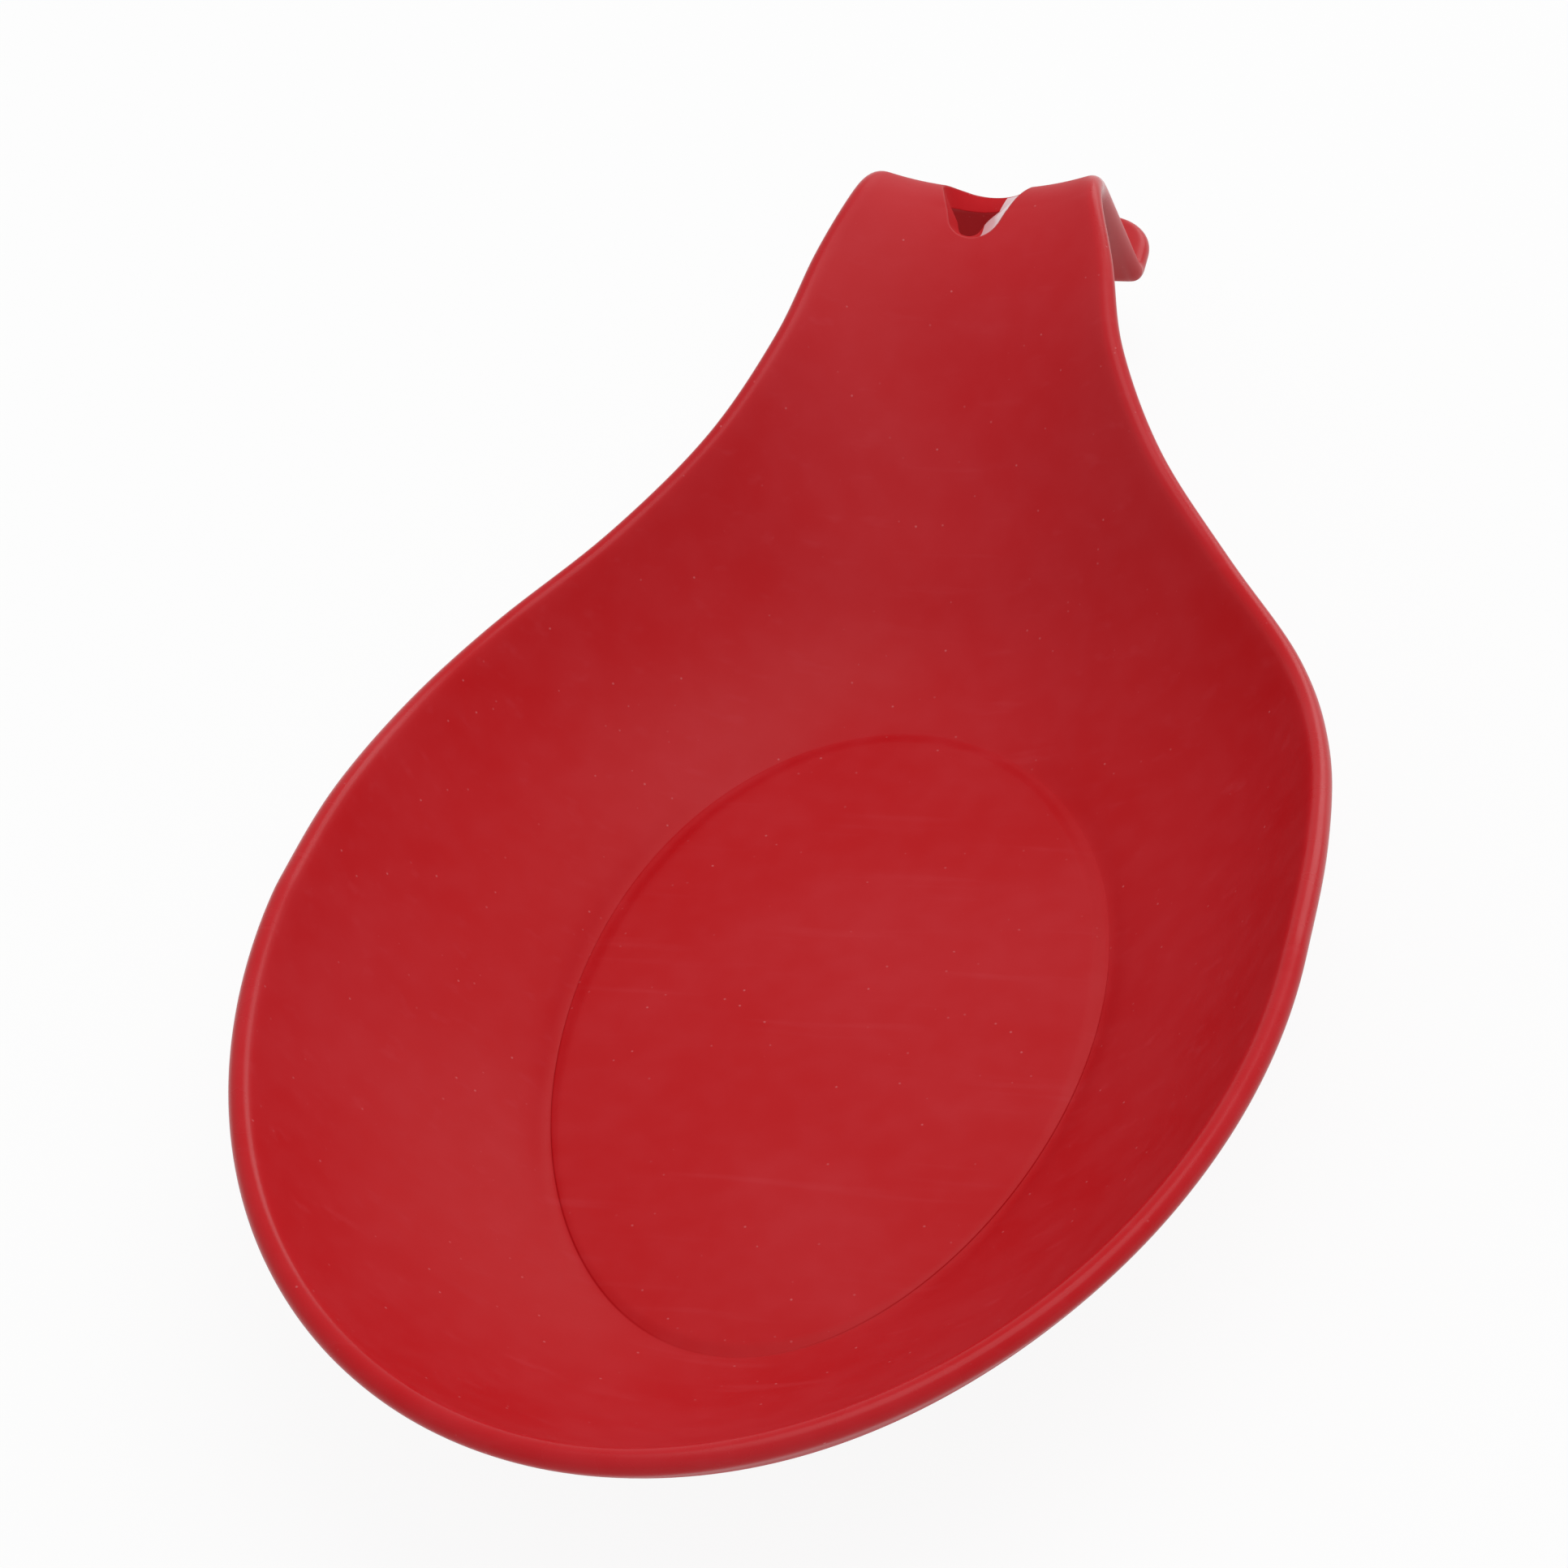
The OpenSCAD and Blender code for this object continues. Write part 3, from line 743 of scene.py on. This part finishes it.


def silicone(name, tint_values, skin_values, specular, highlight_colour=(0.56, 0.02, 0.028, 1)):
    material = bpy.data.materials.new(name)
    material.use_nodes = True
    tree = material.node_tree
    shader = tree.nodes["Principled BSDF"]
    colour = add_node(tree, "ShaderNodeGroup", tint_values, node_tree=tint)
    surface = add_node(tree, "ShaderNodeGroup", skin_values, node_tree=skin)
    for output in ("Pale", "Specks"):
        tree.links.new(colour.outputs[output], surface.inputs[output])
    # The attribute paints a highlight on the rounded edges and a sheen on the curl: a paler
    # colour, and a smoother surface.
    rounded = add_node(tree, "ShaderNodeAttribute", attribute_name="edge_and_curl_highlight").outputs["Fac"]
    edge = add_node(tree, "ShaderNodeMix", {7: highlight_colour}, data_type="RGBA")
    tree.links.new(calculate(tree, "MULTIPLY", rounded, HIGHLIGHT_SHARE), edge.inputs[0])
    tree.links.new(colour.outputs["Color"], edge.inputs[6])
    tree.links.new(edge.outputs[2], shader.inputs["Base Color"])
    smoother = calculate(tree, "MULTIPLY", rounded, SMOOTHER)
    roughness = calculate(tree, "SUBTRACT", surface.outputs["Roughness"], smoother)
    tree.links.new(roughness, shader.inputs["Roughness"])
    bump = add_node(tree, "ShaderNodeBump", {"Distance": MM})
    tree.links.new(surface.outputs["Height"], bump.inputs["Height"])
    tree.links.new(bump.outputs["Normal"], shader.inputs["Normal"])
    shader.inputs["IOR"].default_value = 1.41
    shader.inputs["Specular IOR Level"].default_value = specular
    mesh.materials.append(material)
    return material


MATT, POLISHED_GLARE, ROUGH_SHADED, SATIN = range(4)
silicone("matt red silicone", {"Cloudiness": 0.65, "Rubbed": 0.35, "Dustiness": 0.6},
         {"Grain Height": 0.004}, specular=0.24)
# Painted reflection: the pale pink pigment and bloom stand in for the white surroundings that the
# notch's right wall mirrors at a flat angle.
glare_wall = silicone(
    "polished silicone with painted reflection",
    {"Pigment": (0.70, 0.45, 0.48, 1), "Bloom": (0.78, 0.56, 0.58, 1), "Cloudiness": 0.15,
     "Painted Sheen": 0.0, "Dustiness": 0.0},
    {"Grain Height": 0.001, "Wave Height": 0.01, "Least Rough": 0.28, "Most Rough": 0.40},
    specular=0.5)
shine = glare_wall.node_tree.nodes["Principled BSDF"]
shine.inputs["Coat Weight"].default_value = 0.5
shine.inputs["Coat Roughness"].default_value = 0.15
# Painted shade: less bloom, fewer specks and a low specular level make the inside of the notch
# and what is seen through it darker.
silicone("rough red silicone with painted shade", {"Cloudiness": 0.2, "Dustiness": 0.3},
         {"Grain Height": 0.008, "Least Rough": 0.66, "Most Rough": 0.80}, specular=0.10)
# Painted sheen: the pale pink highlight colour makes the side of the curl paler, as where it
# mirrors the white table.
silicone("satin red silicone with painted sheen", {"Cloudiness": 0.5, "Dustiness": 0.2},
         {"Grain Height": 0.002, "Least Rough": 0.56, "Most Rough": 0.66},
         specular=0.5, highlight_colour=(0.70, 0.32, 0.33, 1))
print("finishes:", ", ".join(material.name for material in mesh.materials))

# %% [markdown]
# A finish is given to each face by number. The faces were made in a known order: the
# top, the underside, the rim and the notch's walls. So their place in the list says
# where they are, and no face has to be searched for.

# %% Which face has which finish
CURL_START, CURL_FOOT = 4.0, 0.5        # mm behind the crest's top, and above the lip
HIDDEN_X, SHADED_FRONT = 6.0, 8.0        # the rough middle of the underside, with painted shade
GLARE_FROM_X = 1.2                       # the wall with the painted reflection is the notch's right side


def curl_share(p):
    """0 at the lip and 1 at the top of the crest, for points behind the crest."""
    foot = LIP_Z + CURL_FOOT
    share = np.clip((p[:, 2] - foot) / (CREST_Z - foot), 0, 1)
    return share * (p[:, 1] > CREST_Y + CURL_START)


finishes = np.full(len(mesh.polygons), MATT)
centres = np.array([middle_points[f].mean(axis=0) for f in faces])
outer = np.abs(centres[:, 0]) > HIDDEN_X
finishes[len(faces):2 * len(faces)] = np.where(
    outer, np.where(curl_share(centres) > 0, SATIN, MATT),
    np.where(centres[:, 1] > CREST_Y - SHADED_FRONT, ROUGH_SHADED, MATT))
loop_share = curl_share(middle_points[rim_loop])
on_curl = np.maximum(loop_share, np.roll(loop_share, -1)) > 0
rim_faces = slice(2 * len(faces), 2 * len(faces) + N_ARC * len(rim_loop))
finishes[rim_faces] = np.repeat(np.where(on_curl, SATIN, MATT), N_ARC)
wall_x = outline(0)[::-1, 0]
rows, first_row, last_row = len(wall_loops) + 1, len(upper), len(upper + straight) + 1
for number in range(first_wall_face, len(mesh.polygons)):
    column, row = divmod(number - first_wall_face, rows)
    if row >= first_row:
        pale = row <= last_row and wall_x[column] > GLARE_FROM_X
        finishes[number] = POLISHED_GLARE if pale else ROUGH_SHADED
mesh.polygons.foreach_set("material_index", finishes)
print("faces with each finish:", np.bincount(finishes).tolist())

# %% [markdown]
# The number for the painted highlight on rounded edges and the painted sheen on the curl is
# an attribute of the mesh's points. A bevel node could find edges while rendering, but it
# is slow, and this mesh knows its edges already.

# %% Where the edges are rounded
EDGE_HIGHLIGHT, CURL_SHINE = 0.4, 1.8       # painted highlight beside the rounding, and painted sheen at the top of the curl
highlight_value = np.zeros(len(vertices))
highlight_value[rim_loop] = EDGE_HIGHLIGHT
highlight_value[[i + n_middle for i in rim_loop]] = EDGE_HIGHLIGHT
arcs = slice(2 * n_middle, 2 * n_middle + len(rim_loop) * (N_ARC - 1))
highlight_value[arcs] = np.repeat(
    np.where(loop_share > 0, CURL_SHINE * loop_share, 1.0), N_ARC - 1)
curl_under = curl_share(middle_points) * (np.abs(middle_points[:, 0]) > HIDDEN_X)
highlight_value[n_middle:2 * n_middle] = np.maximum(highlight_value[n_middle:2 * n_middle],
                                               CURL_SHINE * curl_under)
attribute = mesh.attributes.new("edge_and_curl_highlight", "FLOAT", "POINT")
attribute.data.foreach_set("value", highlight_value)
print("points on rounded edges:", int((highlight_value > 0).sum()))

# %% [markdown]
# The photograph has a pure white background with hardly any shadow. A white floor that
# only reflects would turn grey, so the camera sees it mixed with a white glow. What the
# rubber mirrors gets the glow as well, and the light on the rubber itself does not.

# %% The white floor
FLOOR_SIZE, FLOOR_GREY = 3, 0.74
SEEN_GLOW, MIRRORED_GLOW = 0.92, 0.8
floor_mesh = bpy.data.meshes.new("floor")
floor_mesh.from_pydata([(-FLOOR_SIZE, -FLOOR_SIZE, 0), (FLOOR_SIZE, -FLOOR_SIZE, 0),
                        (FLOOR_SIZE, FLOOR_SIZE, 0), (-FLOOR_SIZE, FLOOR_SIZE, 0)],
                       [], [(0, 1, 2, 3)])
floor = bpy.data.objects.new("floor", floor_mesh)
bpy.context.scene.collection.objects.link(floor)
floor_paint = bpy.data.materials.new("white floor")
floor_paint.use_nodes = True
tree = floor_paint.node_tree
paint = tree.nodes["Principled BSDF"]
paint.inputs["Base Color"].default_value = (FLOOR_GREY, FLOOR_GREY, FLOOR_GREY, 1)
paint.inputs["Roughness"].default_value = 0.9
paint.inputs["Specular IOR Level"].default_value = 0.0
glow = add_node(tree, "ShaderNodeEmission", {"Color": (1, 1, 1, 1)})
path = add_node(tree, "ShaderNodeLightPath").outputs
mirrored_ray = calculate(tree, "MAXIMUM", path["Is Glossy Ray"], path["Is Transmission Ray"])
white = calculate(tree, "MAXIMUM", calculate(tree, "MULTIPLY", path["Is Camera Ray"], SEEN_GLOW),
                  calculate(tree, "MULTIPLY", mirrored_ray, MIRRORED_GLOW))
blend = add_node(tree, "ShaderNodeMixShader")
tree.links.new(white, blend.inputs[0])
tree.links.new(paint.outputs[0], blend.inputs[1])
tree.links.new(glow.outputs[0], blend.inputs[2])
tree.links.new(blend.outputs[0], tree.nodes["Material Output"].inputs["Surface"])
floor_mesh.materials.append(floor_paint)
print("floor:", 2 * FLOOR_SIZE, "m wide")

# %% [markdown]
# The light is that of a white tent: an even white sky, a big soft lamp overhead and a
# smaller one behind, which draws the pale line along the crest. Big lamps are chosen
# because the photograph has no hard highlight and no hard shadow.

# %% Soft light
SKY, SKY_SEEN = 0.68, 1.0
world = bpy.data.worlds.new("studio")
bpy.context.scene.world = world
world.use_nodes = True
sky = world.node_tree
sky.nodes["Background"].inputs["Color"].default_value = (1, 1, 1, 1)
ray = add_node(sky, "ShaderNodeLightPath")
strength = add_node(sky, "ShaderNodeMapRange", {"To Min": SKY, "To Max": SKY_SEEN})
sky.links.new(ray.outputs["Is Camera Ray"], strength.inputs["Value"])
sky.links.new(strength.outputs["Result"], sky.nodes["Background"].inputs["Strength"])


def soft_box(name, size, watts, place):
    """A square lamp that faces the middle of the object."""
    light = bpy.data.lights.new(name, "AREA")
    light.shape = "SQUARE"
    light.size = size
    light.energy = watts
    box = bpy.data.objects.new(name, light)
    bpy.context.scene.collection.objects.link(box)
    box.location = place
    box.rotation_euler = (-box.location).to_track_quat("-Z", "Y").to_euler()


soft_box("overhead soft box", 1.0, 6.5, (0.32, 0.22, 1.25))
soft_box("rear soft box", 0.7, 3.0, (0.35, 1.15, 0.55))
bpy.context.scene.view_settings.view_transform = "Standard"
print("lights:", ", ".join(light.name for light in bpy.data.lights))

# %% [markdown]
# The camera stands where the photographer's did. Its place and its three axes come from
# a fit to the rim, which is mirror symmetric and so gives the perspective. The fit was
# made in its own scale, and with the rim's front at a y of its own, so both are undone.

# %% The camera
FIT_SCALE, FIT_FRONT = 1.033, 3.3
eye = np.array([94.733, -195.245, 273.459]) * FIT_SCALE
eye[1] += HALF - FIT_FRONT * FIT_SCALE + MIDDLE
right = (0.96591, 0.22246, -0.13240)
up = (-0.04877, 0.65865, 0.75086)
forward = (-0.25424, 0.71881, -0.64705)
camera_data = bpy.data.cameras.new("camera")
camera = bpy.data.objects.new("camera", camera_data)
bpy.context.scene.collection.objects.link(camera)
camera.matrix_world = Matrix([
    (right[i], up[i], -forward[i], eye[i] * MM) for i in range(3)] + [(0, 0, 0, 1)])
camera_data.sensor_width = 36
camera_data.lens = 96.94
camera_data.clip_start = 0.01
bpy.context.scene.camera = camera
print("camera in mm:", eye.round(1).tolist())

# %% [markdown]
# Last, the scene is brought up to date.

# %% The end
bpy.context.view_layer.update()
